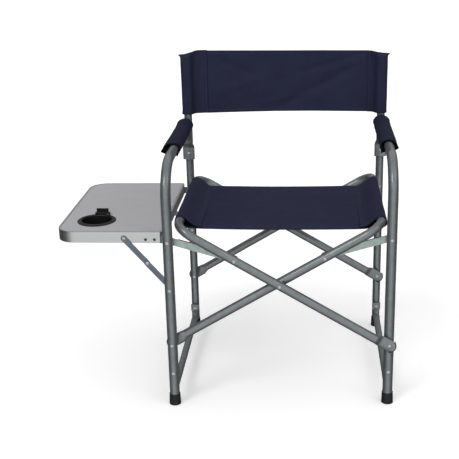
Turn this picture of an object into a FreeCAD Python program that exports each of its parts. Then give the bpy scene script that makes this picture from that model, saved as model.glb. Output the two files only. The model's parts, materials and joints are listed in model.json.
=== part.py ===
"""Folding director chair with a side table, in millimetres.

+Z is up, the chair faces -Y, and the table hangs on the left frame, on the -X side. The origin is the
centre of the whole object's box on the floor. Until the last step everything is placed from the chair's
own centre line, with Y = 0 on the front crossing of the two cross frames.
"""
import FreeCAD, Part
import math
import os
from FreeCAD import Vector

# ---- driving dimensions -------------------------------------------------------------------------------

# side frames
LEG_SPACING = 540.0          # between the two side frames, tube axis to tube axis
FRAME_DEPTH = 470.0          # front leg axis to rear post axis, and front to rear leg of a cross frame
LEG_R = 12.5                 # arm and front leg tube
POST_R = 11.0                # rear post
RAIL_R = 9.0                 # floor rail
WALL = 1.2                   # tube wall
ARM_Z = 626.0                # axis of the arm
POST_TOP = 802.0             # cut end of the rear post
FRONT_BEND = 90.0            # leg to arm
REAR_BEND = 45.0             # arm to its crushed end
ARM_RIVET_Z = 545.0
ARM_CRUSH_WIDE = 16.5        # half width of the arm's crushed end
ARM_CRUSH_THIN = 4.5         # half thickness of it
ARM_CRUSH_BLEND = 18.0       # length over which it flattens
ARM_CRUSH_FLAT = 34.0        # length of its flat part
RAIL_Z = 40.0                # axis of the floor rail
RAIL_BEND = 13.0
RAIL_RIVET_Z = {"front": 88.0, "rear": 67.0}
RAIL_END_WIDE = 12.0         # half width of a floor rail's crushed end
RAIL_END_THIN = 3.5          # half thickness of it
SOLE = 3.0                   # rubber under a tube's cut end
FOOT_HIGH = 29.0
SIDE_STEP = 26.0             # the right frame stands this much further back than the left one

# cross frames: front leg, seat rail and rear leg in one tube
CROSS_R = 11.0
CROSS_STEP = 23.0            # frame B lies this much behind frame A
PIVOT_Z = 165.0              # lower pivots, on the legs
CENTRE_Z = 325.0             # crossing
RAIL_X = 247.0               # seat rail axis, from the centre line
CROSS_BEND = 45.0
CRUSH_WIDE = 15.0            # half width of a crushed cross tube end
CRUSH_THIN = 4.5             # half thickness of it
ROUND_START = 40.0           # where a cross tube is still round, from its lower pivot
FLAT_START = 24.0            # where it is fully flat
CRUSH_STEPS = 5              # cuts in which a tube goes from round to flat
PLUG_STEP = 0.08             # a crushed end begins this much inside the tube's outer face
PLUG_DEPTH = 2.0

# links between the legs and the cross frames
LINK_Z = 437.0               # pivot on the leg, and the hinge of the table
LINK_ARM = 127.3             # crossing to the link's rivet, along the cross tube
LINK_R = 9.0                 # half width of the bar
LINK_T = 2.0
LIP = 4.0                    # height of the bar's folded edges
LIP_WALL = 1.6
LIP_INSET = 26.0             # where they begin, from either rivet

# table
TABLE_OUT = 553.0            # outer edge, from the centre line
TABLE_IN = 285.5             # inner edge
TABLE_FRONT = 4.6
TABLE_REAR = 441.0
TABLE_LOW = 429.0
TABLE_TOP = 457.0
TABLE_CORNER = 48.0
INNER_CORNER = 8.0
EDGE_WALL = 1.5              # aluminium channel round the board
EDGE_TOP_LIP = 5.0           # width of its top lip, whose inner edge the board stands against
EDGE_LEDGE = 14.0            # width of the ledge under the board
EDGE_LOW_LIP = 7.0
EDGE_SHEET = 1.2             # thickness of the ledge and the bottom lip
GROOVE_Z = (433.5, 438.5, 443.5, 448.5)
GROOVE_HIGH = 1.4
GROOVE_DEEP = 0.4
BOARD_T = 3.5
BOARD_TOP = TABLE_TOP - 0.8
STRUT_TOP = (-381.0, 441.0)  # x and z of the strut's rivet on the table
STRUT_LOW_Z = 313.5          # strut's rivet on the leg
STRUT_R = 7.0
STRUT_T = 1.8
CUP_X = -467.0
CUP_Y = 98.0
CUP_R = 38.0                 # inside of the cup
CUP_WALL = 2.0
CUP_DEPTH = 46.0
CUP_COLLAR = 26.0            # straight part of the cup
CUP_FLANGE_R = 49.0
CUP_RECESS = 0.3             # the flange lies in a shallow recess of the board
CUP_SEAT = BOARD_TOP - CUP_RECESS
CLIP_X = -460.0
CLIP_Y = CUP_Y + 42.5
CLIP_Z = CUP_SEAT + 6.5
CLIP_WIDE = 31.0
CLIP_PIN_R = 1.5

# cloth
CLOTH_T = 2.0
BACK_LOW = {"left": 655.0, "right": 649.0}
BACK_TOP = {"left": 832.0, "right": 820.0}
BACK_EAR_Z = {"left": 820.0, "right": 813.0}
BACK_SEAM = 236.0            # seams of the pockets, from the centre line
SEAT_SAG_Z = 450.5           # middle of the seat
PAD_WIDE = 23.0              # half width of an arm pad
PAD_HIGH = 18.5              # half height
PAD_FRONT = 128.0            # front leg axis to the pad's front
PAD_SHIFT = {"left": -6.0, "right": 0.0}

# rivets
SHANK = 3.0
HOLE = 3.05                  # running clearance of 0.05
HEAD_R = 4.9
HEAD_H = 2.0
GAP = 0.3
KNEE_R = 4.4                 # strut rivets
KNEE_H = 1.4
SCREW_R = 2.0
SCREW_HEAD_R = 3.6
SCREW_HEAD_H = 1.5
SCREW_LONG = 8.0

# ---- derived places -----------------------------------------------------------------------------------

LEG_X = LEG_SPACING / 2
FRONT_Y = {"left": -SIDE_STEP / 2, "right": SIDE_STEP / 2}
SIDE = {"left": -1, "right": 1}
CROSS_Y = {"a": -CROSS_STEP / 2, "b": CROSS_STEP / 2}
SLOPE = math.atan2(CENTRE_Z - PIVOT_Z, LEG_X)
LOWER_ARM = math.hypot(LEG_X, CENTRE_Z - PIVOT_Z)
UPPER_ARM = RAIL_X / math.cos(SLOPE)
RAIL_TOP_Z = CENTRE_Z + UPPER_ARM * math.sin(SLOPE)
FORWARD = Vector(0, -1, 0)
BACK = Vector(0, 1, 0)
UP = Vector(0, 0, 1)
DOWN = Vector(0, 0, -1)
ACROSS = Vector(1, 0, 0)

nodes = {}


# ---- shapes used more than once -----------------------------------------------------------------------

def bent_path(points, bend):
    """A wire of straight runs through the points, joined by tangent arcs of one radius."""
    edges = []
    start = points[0]
    for before, corner, after in zip(points, points[1:], points[2:]):
        u = (before - corner).normalize()
        v = (after - corner).normalize()
        half = u.getAngle(v) / 2
        first = corner + u * (bend / math.tan(half))
        last = corner + v * (bend / math.tan(half))
        middle = corner + (u + v).normalize() * (bend / math.sin(half) - bend)
        edges.append(Part.LineSegment(start, first).toShape())
        edges.append(Part.Arc(first, middle, last).toShape())
        start = last
    edges.append(Part.LineSegment(start, points[-1]).toShape())
    return Part.Wire(edges)


def rod(points, bend, radius):
    """A solid bar of round section along a bent path."""
    path = bent_path(points, bend)
    circle = Part.Wire(Part.makeCircle(radius, points[0], points[1] - points[0]))
    return path.makePipe(Part.Face(circle))


def tube(points, bend, radius):
    return rod(points, bend, radius).cut(rod(points, bend, radius - WALL))


def cylinder_y(x, z, y_from, y_to, radius):
    return Part.makeCylinder(radius, y_to - y_from, Vector(x, y_from, z), BACK)


def dome(x, z, y, way, radius=HEAD_R, height=HEAD_H):
    """A rivet head on the plane at y, domed forward (way -1) or backward (way 1)."""
    rim = height * 0.3
    crown = height - rim
    ball_r = (radius ** 2 + crown ** 2) / (2 * crown)
    latitude = math.degrees(math.acos(radius / ball_r))
    axis = Vector(0, way, 0)
    disc = Part.makeCylinder(radius, rim, Vector(x, y, z), axis)
    cap = Part.makeSphere(ball_r, Vector(x, y + way * (height - ball_r), z), axis, latitude, 90, 360)
    return disc.fuse(cap).removeSplitter()


def rivet(x, z, y_from, y_to, radius=HEAD_R, height=HEAD_H):
    """A shank along Y with a domed head outside each end."""
    body = cylinder_y(x, z, y_from, y_to, SHANK)
    for y, way in ((y_from, -1), (y_to, 1)):
        body = body.fuse(dome(x, z, y, way, radius, height))
    return body.removeSplitter()


def washer(x, z, y_from, y_to, radius):
    return cylinder_y(x, z, y_from, y_to, radius).cut(cylinder_y(x, z, y_from, y_to, HOLE))


def oval(centre, wide_axis, wide, thin_axis, thin):
    """An oval outline about a centre, from its two half axes."""
    return Part.Wire(Part.Ellipse(centre + wide_axis * wide, centre + thin_axis * thin, centre).toShape())


def crushed_end(start, along, wide_axis, thin_axis, offset, radius, wide, thin, blend, length):
    """A round tube end that flattens over the blend length, then runs on flat, pushed aside by offset.

    It begins as a plug a little inside the tube's outer face.
    """
    plug_r = radius - PLUG_STEP
    cuts = [oval(start - along * PLUG_DEPTH, wide_axis, plug_r * 1.0005, thin_axis, plug_r)]
    for step in range(CRUSH_STEPS + 1):
        share = step / CRUSH_STEPS
        share = share * share * (3 - 2 * share)
        centre = start + along * (blend * step / CRUSH_STEPS) + thin_axis * (offset * share)
        half_wide = plug_r * 1.0005 + (wide - plug_r * 1.0005) * share
        half_thin = plug_r + (thin - plug_r) * share
        cuts.append(oval(centre, wide_axis, half_wide, thin_axis, half_thin))
    flat_end = start + along * (blend + length) + thin_axis * offset
    cuts.append(oval(flat_end, wide_axis, wide, thin_axis, thin))
    return Part.makeLoft(cuts, True, True)


def bar_outline(a, b, radius, y, thickness):
    """A flat bar in the XZ plane with round ends about the points a and b, given as (x, z)."""
    start = Vector(a[0], y, a[1])
    end = Vector(b[0], y, b[1])
    way = (end - start).normalize()
    side = way.cross(BACK) * radius
    edges = [
        Part.LineSegment(start + side, end + side).toShape(),
        Part.Arc(end + side, end + way * radius, end - side).toShape(),
        Part.LineSegment(end - side, start - side).toShape(),
        Part.Arc(start - side, start - way * radius, start + side).toShape(),
    ]
    return Part.Face(Part.Wire(edges)).extrude(BACK * thickness)


def point_between(a, b, distance):
    """The (x, z) point at a distance from a towards b."""
    length = math.hypot(b[0] - a[0], b[1] - a[1])
    return (a[0] + (b[0] - a[0]) * distance / length, a[1] + (b[1] - a[1]) * distance / length)


def drilled(shape, holes, radius=HOLE):
    """The shape with holes along Y at each (x, z)."""
    box = shape.BoundBox
    for x, z in holes:
        shape = shape.cut(cylinder_y(x, z, box.YMin - 1, box.YMax + 1, radius))
    return shape


def group(solids):
    return Part.makeCompound(solids)


# ---- side frames --------------------------------------------------------------------------------------

def post_y(side):
    return FRONT_Y[side] + FRAME_DEPTH


def drop_axis_y(side):
    """Axis of the arm tube where it comes down in front of the post."""
    return post_y(side) - POST_R - LEG_R - 0.5


def arm_leg_tube(side):
    """Front leg, large bend, arm, rear bend and the crushed end on the front of the post."""
    x = SIDE[side] * LEG_X
    y = FRONT_Y[side]
    drop_y = drop_axis_y(side)
    # the two bends have their own radii, so the tube is made in two halves that meet on the arm
    half = Vector(x, y + FRAME_DEPTH / 2, ARM_Z)
    round_end = Vector(x, drop_y, ARM_Z - REAR_BEND - 1)
    front = tube([Vector(x, y, SOLE), Vector(x, y, ARM_Z), half], FRONT_BEND, LEG_R)
    rear = tube([half, Vector(x, drop_y, ARM_Z), round_end], REAR_BEND, LEG_R)
    offset = LEG_R - ARM_CRUSH_THIN + 0.3
    crush = crushed_end(round_end, DOWN, ACROSS, BACK, offset, LEG_R, ARM_CRUSH_WIDE, ARM_CRUSH_THIN,
                        ARM_CRUSH_BLEND, ARM_CRUSH_FLAT)
    shape = front.fuse(rear).removeSplitter().fuse(crush)
    holes = [(x, LINK_Z), (x, RAIL_RIVET_Z["front"]), (x, PIVOT_Z)]
    if side == "left":
        holes.append((x, STRUT_LOW_Z))
    leg_only = Part.makeBox(60, 60, ARM_Z, Vector(x - 30, y - 30, 0))
    for hole_x, hole_z in holes:
        shape = shape.cut(cylinder_y(hole_x, hole_z, y - 20, y + 20, HOLE).common(leg_only))
    return shape.cut(cylinder_y(x, ARM_RIVET_Z, drop_y - 20, drop_y + 30, HOLE))


def back_post(side):
    x = SIDE[side] * LEG_X
    y = post_y(side)
    body = Part.makeCylinder(POST_R, POST_TOP - SOLE, Vector(x, y, SOLE))
    bore = Part.makeCylinder(POST_R - WALL, POST_TOP - SOLE, Vector(x, y, SOLE))
    holes = [(x, ARM_RIVET_Z), (x, LINK_Z), (x, RAIL_RIVET_Z["rear"]), (x, PIVOT_Z)]
    if side == "left":
        holes.append((x, STRUT_LOW_Z))
    return drilled(body.cut(bore), holes)


def floor_rail(side):
    """Tube near the floor whose two ends turn up and are crushed against the legs."""
    x = SIDE[side] * LEG_X
    front = FRONT_Y[side] + LEG_R + RAIL_R + 0.5
    rear = post_y(side) - POST_R - RAIL_R - 0.5
    top = RAIL_Z + RAIL_BEND + 1
    points = [Vector(x, front, top), Vector(x, front, RAIL_Z), Vector(x, rear, RAIL_Z), Vector(x, rear, top)]
    shape = tube(points, RAIL_BEND, RAIL_R)
    offset = RAIL_R - RAIL_END_THIN + 0.3
    blend = 8.0
    for end, y, towards in (("front", front, FORWARD), ("rear", rear, BACK)):
        flat = RAIL_RIVET_Z[end] + RAIL_END_WIDE - top - blend
        shape = shape.fuse(crushed_end(Vector(x, y, top), UP, ACROSS, towards, offset, RAIL_R, RAIL_END_WIDE,
                                       RAIL_END_THIN, blend, flat))
        hole = cylinder_y(x, RAIL_RIVET_Z[end], y - 15, y + 15, HOLE)
        shape = shape.cut(hole)
    return shape


def foot_cap(x, y, tube_r):
    """Rubber cap around a tube end, wider at the floor."""
    outer = Part.makeCone(tube_r + 2.4, tube_r + 1.5, FOOT_HIGH, Vector(x, y, 0))
    return outer.cut(Part.makeCylinder(tube_r, FOOT_HIGH, Vector(x, y, SOLE)))


def post_cap(side):
    """Plastic plug with a low dome, in the top of the rear post."""
    x = SIDE[side] * LEG_X
    y = post_y(side)
    plug = Part.makeCylinder(POST_R - WALL - 0.1, 16, Vector(x, y, POST_TOP - 14))
    rim = Part.makeCone(POST_R, POST_R - 1.5, 3, Vector(x, y, POST_TOP))
    ball_r = 24.0
    crown_r = POST_R - 1.5
    sink = math.sqrt(ball_r ** 2 - crown_r ** 2)
    crown = Part.makeSphere(ball_r, Vector(x, y, POST_TOP + 3 - sink))
    crown = crown.common(Part.makeCylinder(crown_r, 6, Vector(x, y, POST_TOP + 3)))
    return plug.fuse([rim, crown]).removeSplitter()


def arm_pad(side):
    """Padded sleeve on the arm, open below for the tube's rear bend."""
    x = SIDE[side] * LEG_X
    y_end = post_y(side) - POST_R - 2.0
    start = Vector(x + PAD_SHIFT[side], FRONT_Y[side] + PAD_FRONT, ARM_Z)
    profile = Part.Face(oval(start, ACROSS, PAD_WIDE, UP, PAD_HIGH))
    body = profile.extrude(BACK * (y_end - start.y))
    drop_y = drop_axis_y(side)
    clear = [Vector(x, FRONT_Y[side] + 50, ARM_Z), Vector(x, drop_y, ARM_Z), Vector(x, drop_y, ARM_Z - 80)]
    return body.cut(rod(clear, REAR_BEND, LEG_R + GAP))


def frame_rivets(side):
    """Every rivet that is fixed in one side frame."""
    x = SIDE[side] * LEG_X
    front = FRONT_Y[side]
    rear = post_y(side)
    leg_front = front - LEG_R
    leg_back = front + LEG_R
    post_front = rear - POST_R
    post_back = rear + POST_R
    rail_plate = 2 * RAIL_END_THIN + 0.6
    arm_plate = 2 * ARM_CRUSH_THIN + 0.4
    solids = [
        rivet(x, ARM_RIVET_Z, post_front - arm_plate, post_back),
        rivet(x, RAIL_RIVET_Z["front"], leg_front, leg_back + rail_plate),
        rivet(x, RAIL_RIVET_Z["rear"], post_front - rail_plate, post_back),
    ]
    if side == "left":
        solids.append(rivet(x, PIVOT_Z, leg_front, crush_back_y("front") + GAP))
        solids.append(rivet(x, PIVOT_Z, post_front, crush_back_y("rear") + GAP))
        solids.append(rivet(x, LINK_Z, leg_front, BRACKET_Y["front"] + BRACKET_T + GAP))
        solids.append(rivet(x, LINK_Z, BRACKET_Y["rear"] - GAP, LINK_Y["left"]["rear"] + LINK_T + GAP))
        strut_back = STRUT_Y["front"]["lower"] + STRUT_T + 0.2
        strut_front = STRUT_Y["rear"]["lower"] - 0.2
        solids.append(rivet(x, STRUT_LOW_Z, leg_front, strut_back, KNEE_R, KNEE_H))
        solids.append(rivet(x, STRUT_LOW_Z, strut_front, post_back, KNEE_R, KNEE_H))
    else:
        solids.append(rivet(x, PIVOT_Z, crush_front_y("front") - GAP, leg_back))
        solids.append(rivet(x, PIVOT_Z, crush_front_y("rear") - GAP, post_back))
        solids.append(rivet(x, LINK_Z, leg_front, LINK_Y["right"]["front"] + LINK_T + GAP))
        solids.append(rivet(x, LINK_Z, post_front, LINK_Y["right"]["rear"] + LINK_T + GAP))
    return group(solids)


# ---- cross frames -------------------------------------------------------------------------------------

def crush_back_y(end):
    """Back face of frame B's crushed end, which lies against the left leg before it."""
    return CROSS_Y["b"] + (FRAME_DEPTH if end == "rear" else 0) - CROSS_R + 2 * CRUSH_THIN


def crush_front_y(end):
    """Front face of frame A's crushed end, which lies against the right leg behind it."""
    return CROSS_Y["a"] + (FRAME_DEPTH if end == "rear" else 0) + CROSS_R - 2 * CRUSH_THIN


def cross_direction(frame):
    """Unit vector up along the cross tube, and the side (-1 left, 1 right) of its seat rail."""
    rail_side = -1 if frame == "a" else 1
    return rail_side, Vector(rail_side * math.cos(SLOPE), 0, math.sin(SLOPE))


def cross_point(frame, along, y):
    """The point at a distance from the lower pivot up along the cross tube's axis."""
    rail_side, way = cross_direction(frame)
    pivot = Vector(-rail_side * LEG_X, y, PIVOT_Z)
    return pivot + way * along


def cross_tube(frame):
    """One tube: crushed end, front leg, seat rail, rear leg, crushed end."""
    rail_side, way = cross_direction(frame)
    flat_axis = way.cross(BACK)
    front = CROSS_Y[frame]
    rear = front + FRAME_DEPTH
    corner = LOWER_ARM + UPPER_ARM
    points = [
        cross_point(frame, ROUND_START, front), cross_point(frame, corner, front),
        cross_point(frame, corner, rear), cross_point(frame, ROUND_START, rear),
    ]
    shape = tube(points, CROSS_BEND, CROSS_R)
    # frame A is crushed towards the right legs behind it, frame B towards the left legs before it
    towards = BACK if frame == "a" else FORWARD
    offset = CROSS_R - CRUSH_THIN
    for y in (front, rear):
        start = cross_point(frame, ROUND_START, y)
        end = crushed_end(start, way * -1, flat_axis, towards, offset, CROSS_R, CRUSH_WIDE, CRUSH_THIN,
                          ROUND_START - FLAT_START, FLAT_START + CRUSH_WIDE)
        pivot = cross_point(frame, 0, y)
        tip = cylinder_y(pivot.x, pivot.z, y - 20, y + 20, CRUSH_WIDE)
        upper = Part.makeBox(90, 60, 90, Vector(-45, -30, 0))
        turn = math.degrees(SLOPE) if rail_side < 0 else -math.degrees(SLOPE)
        upper.rotate(Vector(0, 0, 0), BACK, turn)
        upper.rotate(Vector(0, 0, 0), BACK, -90 if rail_side < 0 else 90)
        upper.translate(pivot)
        shape = shape.fuse(end.common(tip.fuse(upper)))
    centre = (0, CENTRE_Z)
    lower = cross_point(frame, 0, 0)
    link = cross_point(frame, LOWER_ARM + LINK_ARM, 0)
    return drilled(shape, [centre, (lower.x, lower.z), (link.x, link.z)])


def cross_end_caps(frame):
    """Black plastic shoes pushed over the round tips of the crushed ends."""
    rail_side, way = cross_direction(frame)
    flat_axis = way.cross(BACK)
    towards = 1 if frame == "a" else -1
    solids = []
    for y in (CROSS_Y[frame], CROSS_Y[frame] + FRAME_DEPTH):
        pivot = cross_point(frame, 0, y)
        middle = y + towards * (CROSS_R - CRUSH_THIN)
        shell = cylinder_y(pivot.x, pivot.z, middle - CRUSH_THIN, middle + CRUSH_THIN, CRUSH_WIDE + 2.2)
        inner = cylinder_y(pivot.x, pivot.z, middle - CRUSH_THIN, middle + CRUSH_THIN, CRUSH_WIDE + 0.1)
        keep = Part.makeCylinder(30, 40, pivot - way * 47, way)
        solids.append(shell.cut(inner).common(keep))
    return group(solids)


def cross_link_rivets(frame):
    """Rivet stubs at the links: a head in front and a shank that ends behind the tube."""
    place = cross_point(frame, LOWER_ARM + LINK_ARM, 0)
    side = "left" if frame == "a" else "right"
    solids = []
    for end in ("front", "rear"):
        y = CROSS_Y[frame] + (0 if end == "front" else FRAME_DEPTH)
        shank = cylinder_y(place.x, place.z, y - CROSS_R, LINK_Y[side][end] - GAP, SHANK)
        solids.append(shank.fuse(dome(place.x, place.z, y - CROSS_R, -1)).removeSplitter())
    return group(solids)


def centre_rivets():
    reach = CROSS_STEP / 2 + CROSS_R
    return group([rivet(0, CENTRE_Z, y - reach, y + reach) for y in (0, FRAME_DEPTH)])


def centre_washers():
    """Nylon washers between the two crossing tubes."""
    half = CROSS_STEP / 2 - CROSS_R - 0.1
    return group([washer(0, CENTRE_Z, y - half, y + half, 9.0) for y in (0, FRAME_DEPTH)])


# ---- links --------------------------------------------------------------------------------------------

LINK_Y = {
    "left": {"front": FRONT_Y["left"] + LEG_R + 0.5, "rear": CROSS_Y["a"] + FRAME_DEPTH + CROSS_R + 0.5},
    "right": {"front": FRONT_Y["right"] + LEG_R + 0.5, "rear": post_y("right") + POST_R + 0.5},
}


def link(side, end):
    """Pressed bar from the leg to the cross tube, with folded lips and a formed stud at the far end."""
    frame = "a" if side == "left" else "b"
    leg = (SIDE[side] * LEG_X, LINK_Z)
    far = cross_point(frame, LOWER_ARM + LINK_ARM, 0)
    tip = (far.x, far.z)
    y = LINK_Y[side][end]
    shape = bar_outline(leg, tip, LINK_R, y, LINK_T)
    span = math.hypot(tip[0] - leg[0], tip[1] - leg[1])
    lip_start = point_between(leg, tip, LIP_INSET)
    lip_end = point_between(leg, tip, span - LIP_INSET)
    lips = bar_outline(lip_start, lip_end, LINK_R, y, LINK_T + LIP)
    before = point_between(leg, tip, -30)
    beyond = point_between(leg, tip, span + 30)
    hollow = bar_outline(before, beyond, LINK_R - LIP_WALL, y + LINK_T, LIP + 1)
    stud = dome(tip[0], tip[1], y + LINK_T, 1)
    shape = shape.fuse(lips.cut(hollow)).fuse(stud).removeSplitter()
    return drilled(shape, [leg])


# ---- table --------------------------------------------------------------------------------------------

BRACKET_T = 2.0
BRACKET_Y = {"front": TABLE_FRONT + EDGE_WALL + 0.4, "rear": TABLE_REAR - EDGE_WALL - 0.4 - BRACKET_T}
STRUT_Y = {
    "front": {"lower": FRONT_Y["left"] + LEG_R + 0.7, "upper": TABLE_FRONT - 0.4 - STRUT_T},
    "rear": {"upper": TABLE_REAR + 0.4, "lower": post_y("left") - POST_R - 0.7 - STRUT_T},
}
STRUT_LOW = (-LEG_X, STRUT_LOW_Z)
KNEE = ((STRUT_TOP[0] + STRUT_LOW[0]) / 2, (STRUT_TOP[1] + STRUT_LOW[1]) / 2)
SCREW_X = (-327.0, -305.0)
SCREW_Z = 438.0


def table_slab(inset, low, high):
    """The table's outline, set in from its edge: large outer corners, small inner ones."""
    left = -TABLE_OUT + inset
    right = -TABLE_IN - inset
    front = TABLE_FRONT + inset
    rear = TABLE_REAR - inset
    slab = Part.makeBox(right - left, rear - front, high - low, Vector(left, front, low))
    upright = [e for e in slab.Edges if abs(e.Vertexes[0].Z - e.Vertexes[1].Z) > 1]
    outer = [e for e in upright if e.Vertexes[0].X < (left + right) / 2]
    slab = slab.makeFillet(TABLE_CORNER - inset, outer)
    upright = [e for e in slab.Edges if abs(e.BoundBox.ZLength) > 1 and e.BoundBox.XMin > right - 1]
    return slab.makeFillet(max(INNER_CORNER - inset, 1.0), upright)


def bracket_slots():
    """Room for the two hinge plates where they run through the table's edge."""
    solids = []
    for end in ("front", "rear"):
        y = BRACKET_Y[end] - 0.2
        solids.append(Part.makeBox(90, BRACKET_T + 0.4, 20.4, Vector(-346, y, LINK_Z - 10.2)))
    return solids


def screw_places():
    return [(x, SCREW_Z) for x in SCREW_X]


def table_edge():
    """Aluminium channel round the board: grooved wall, top lip, ledge under the board and bottom lip."""
    band = table_slab(0, TABLE_LOW, TABLE_TOP)
    ledge_top = BOARD_TOP - BOARD_T - 0.1
    band = band.cut(table_slab(EDGE_TOP_LIP, ledge_top, TABLE_TOP + 1))
    band = band.cut(table_slab(EDGE_WALL, ledge_top, TABLE_TOP - EDGE_WALL))
    band = band.cut(table_slab(EDGE_LEDGE, TABLE_LOW - 1, TABLE_TOP + 1))
    band = band.cut(table_slab(EDGE_WALL, TABLE_LOW + EDGE_SHEET, ledge_top - EDGE_SHEET))
    band = band.cut(table_slab(EDGE_LOW_LIP, TABLE_LOW - 1, TABLE_LOW + EDGE_SHEET))
    for z in GROOVE_Z:
        ring = table_slab(-1, z, z + GROOVE_HIGH).cut(table_slab(GROOVE_DEEP, z, z + GROOVE_HIGH))
        band = band.cut(ring)
    for slot in bracket_slots():
        band = band.cut(slot)
    return drilled(band, screw_places() + [STRUT_TOP], SCREW_R + 0.1)


def table_panel():
    """Board on the channel's ledge, with the cup's hole and a shallow recess for its flange."""
    board = table_slab(EDGE_TOP_LIP + 0.1, BOARD_TOP - BOARD_T, BOARD_TOP)
    board = board.cut(Part.makeCylinder(CUP_R + CUP_WALL + 1.5, 60, Vector(CUP_X, CUP_Y, TABLE_LOW - 10)))
    board = board.cut(Part.makeCylinder(CUP_FLANGE_R + 1.6, 5, Vector(CUP_X, CUP_Y, CUP_SEAT)))
    lugs_wide = CLIP_WIDE + 10
    return board.cut(Part.makeBox(lugs_wide, 6.5, 5, Vector(CLIP_X - lugs_wide / 2, CLIP_Y - 1, CUP_SEAT)))


def table_bracket(end):
    """Hinge plate between the table's end and the leg rivet."""
    shape = bar_outline((-336.0, LINK_Z), (-LEG_X, LINK_Z), 9.0, BRACKET_Y[end], BRACKET_T)
    shape = drilled(shape, [(-LEG_X, LINK_Z)])
    return drilled(shape, screw_places(), SCREW_R + 0.05)


def table_screws():
    """Pan head screws through the edge into the hinge plates."""
    solids = []
    for x, z in screw_places():
        for y, way in ((TABLE_FRONT, -1), (TABLE_REAR, 1)):
            low, high = sorted((y, y - way * SCREW_LONG))
            shank = cylinder_y(x, z, low, high, SCREW_R)
            solids.append(shank.fuse(dome(x, z, y, way, SCREW_HEAD_R, SCREW_HEAD_H)).removeSplitter())
    return group(solids)


def strut_rivets():
    """Rivets that hold the upper struts on the table's ends."""
    solids = []
    for y, way in ((TABLE_FRONT, -1), (TABLE_REAR, 1)):
        outer = y + way * (STRUT_T + 0.5)
        inner = y - way * EDGE_WALL
        low, high = sorted((outer, inner))
        body = cylinder_y(*STRUT_TOP, low, high, SCREW_R)
        body = body.fuse(dome(*STRUT_TOP, outer, way, KNEE_R, KNEE_H))
        solids.append(body.fuse(dome(*STRUT_TOP, inner, -way, KNEE_R, KNEE_H)).removeSplitter())
    return group(solids)


def strut(end, half):
    """Flat bar with a shallow pressed groove along its middle."""
    start = STRUT_TOP if half == "upper" else STRUT_LOW
    y = STRUT_Y[end][half]
    shape = bar_outline(start, KNEE, STRUT_R, y, STRUT_T)
    span = math.hypot(KNEE[0] - start[0], KNEE[1] - start[1])
    outer_y = y if end == "front" else y + STRUT_T - 0.5
    groove_start = point_between(start, KNEE, STRUT_R * 2)
    groove_end = point_between(start, KNEE, span - STRUT_R * 2)
    groove = bar_outline(groove_start, groove_end, 2.6, outer_y, 0.5)
    hole = HOLE if half == "lower" else SCREW_R + 0.05
    return drilled(shape.cut(groove), [start], hole)


def knee_studs(half):
    """The rivet at the knee: a domed head in front of the lower bar, a flat disc behind the upper one."""
    solids = []
    for end, way in (("front", -1), ("rear", 1)):
        near = STRUT_Y[end][half]
        far = near + STRUT_T
        if half == "lower":
            solids.append(dome(*KNEE, near if way < 0 else far, way, KNEE_R, KNEE_H))
        else:
            low = far if way < 0 else near - 0.3
            solids.append(cylinder_y(*KNEE, low, low + 0.3, KNEE_R - 1))
    return group(solids)


# ---- cup holder ---------------------------------------------------------------------------------------

def turned(points, x, y):
    """A body of revolution about the vertical through x, y, from its (radius, z) outline."""
    wire = Part.makePolygon([Vector(x + r, y, z) for r, z in points + points[:1]])
    return Part.Face(wire).revolve(Vector(x, y, 0), UP, 360)


def cup_holder():
    """Plastic cup dropped into the table: ribbed flange, straight collar, tapered wall and floor."""
    top = CUP_SEAT
    floor_z = top - CUP_DEPTH
    collar_z = top - CUP_COLLAR
    foot_r = CUP_R - 4
    drain_r = 6.0
    outline = [
        (CUP_R, top + 1.2), (CUP_R + 1.2, top + 3.2), (CUP_R + 4, top + 3.2), (CUP_R + 4.6, top + 2.4),
        (CUP_R + 6, top + 2.4), (CUP_R + 6.6, top + 3.0), (CUP_FLANGE_R - 2, top + 2.6),
        (CUP_FLANGE_R, top + 1.2), (CUP_FLANGE_R, top + 0.1), (CUP_R + CUP_WALL, top + 0.1),
        (CUP_R + CUP_WALL, collar_z), (foot_r + CUP_WALL, floor_z), (drain_r, floor_z),
        (drain_r, floor_z + CUP_WALL), (foot_r, floor_z + CUP_WALL), (CUP_R, collar_z),
    ]
    shape = turned(outline, CUP_X, CUP_Y)
    lug_thick = 3.2
    for way in (-1, 1):
        near = CLIP_X + way * (CLIP_WIDE + 1 + lug_thick) / 2 - lug_thick / 2
        shape = shape.fuse(Part.makeBox(lug_thick, 8, 8.5, Vector(near, CLIP_Y - 4, top + 0.6)))
    return shape.cut(clip_cylinder(CLIP_PIN_R + 0.05, 2 * CLIP_WIDE))


def clip_cylinder(radius, length):
    """A cylinder along the clip's hinge, centred on the clip."""
    return Part.makeCylinder(radius, length, Vector(CLIP_X - length / 2, CLIP_Y, CLIP_Z), ACROSS)


def cup_clip():
    """Ribbed flap on a pin at the rear of the flange, which folds forward onto what stands in the cup."""
    left = CLIP_X - CLIP_WIDE / 2
    plate = Part.makeBox(CLIP_WIDE, 2.6, 13.0, Vector(left, CLIP_Y - 1.3, CLIP_Z))
    shape = clip_cylinder(3.0, CLIP_WIDE).fuse(plate)
    pitch = 6.25
    for step in range(-2, 3):
        x = CLIP_X + step * pitch
        shape = shape.fuse(Part.makeBox(2.2, 1.6, 10.0, Vector(x - 1.1, CLIP_Y - 2.7, CLIP_Z + 2.5)))
    return shape.removeSplitter().cut(clip_cylinder(CLIP_PIN_R + 0.05, CLIP_WIDE))


def cup_clip_pin():
    return clip_cylinder(CLIP_PIN_R, CLIP_WIDE + 7.4)


# ---- cloth --------------------------------------------------------------------------------------------

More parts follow.
